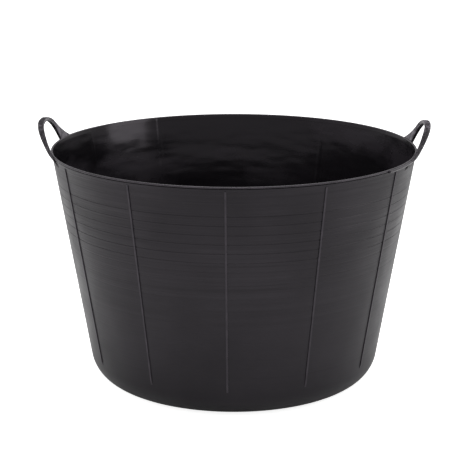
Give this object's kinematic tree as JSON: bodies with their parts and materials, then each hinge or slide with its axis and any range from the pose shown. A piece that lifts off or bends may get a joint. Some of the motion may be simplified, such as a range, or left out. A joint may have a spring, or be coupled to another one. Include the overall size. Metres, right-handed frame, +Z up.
{
  "type": "mortar mixing tub",
  "caption": "Flexible round mixing tub, tapered, with a bead rim, thin upright ribs and strap handles leaning out on opposite sides.",
  "frame": {"origin": "centre of the base, on the surface that the tub stands on", "axes": "+Z up along the tub's axis; the handles are on +X and -X; -Y is the front, with one rib facing it"},
  "size_m": [0.6, 0.56, 0.4035],
  "materials": {
    "wall_plastic": "satin moulded polyethylene, charcoal",
    "floor_plastic": "satin to semi-gloss moulded polyethylene, near black",
    "rim_plastic": "semi-gloss moulded polyethylene, charcoal",
    "handle_plastic": "fine stippled moulded polyethylene, charcoal"
  },
  "bodies": {
    "tub": {"floor_disc": "floor_plastic", "foot_ring": "floor_plastic", "heel_band": "wall_plastic", "side_wall": "wall_plastic", "rim_band": "rim_plastic", "wall_rib_01": "wall_plastic", "wall_rib_02": "wall_plastic", "wall_rib_03": "wall_plastic", "wall_rib_04": "wall_plastic", "wall_rib_05": "wall_plastic", "wall_rib_06": "wall_plastic", "wall_rib_07": "wall_plastic", "wall_rib_08": "wall_plastic", "wall_rib_09": "wall_plastic", "wall_rib_10": "wall_plastic", "wall_rib_11": "wall_plastic", "wall_rib_12": "wall_plastic", "right_ledge": "rim_plastic", "right_front_web": "handle_plastic", "right_front_gusset": "rim_plastic", "right_rear_web": "handle_plastic", "right_rear_gusset": "rim_plastic", "left_ledge": "rim_plastic", "left_front_web": "handle_plastic", "left_front_gusset": "rim_plastic", "left_rear_web": "handle_plastic", "left_rear_gusset": "rim_plastic"},
    "right_handle": {"right_grip": "handle_plastic", "right_front_leg": "handle_plastic", "right_rear_leg": "handle_plastic"},
    "left_handle": {"left_grip": "handle_plastic", "left_front_leg": "handle_plastic", "left_rear_leg": "handle_plastic"}
  },
  "joints": [
    {"name": "right_handle_flex", "type": "hinge", "parent": "tub", "child": "right_handle", "pos_m": [0.27783, 0, 0.367], "axis": [0, -1, 0], "range_deg": [-35, 60], "stiffness_Nm_per_rad": 1.8},
    {"name": "left_handle_flex", "type": "hinge", "parent": "tub", "child": "left_handle", "pos_m": [-0.27783, 0, 0.367], "axis": [0, 1, 0], "range_deg": [-35, 60], "stiffness_Nm_per_rad": 1.8}
  ]
}
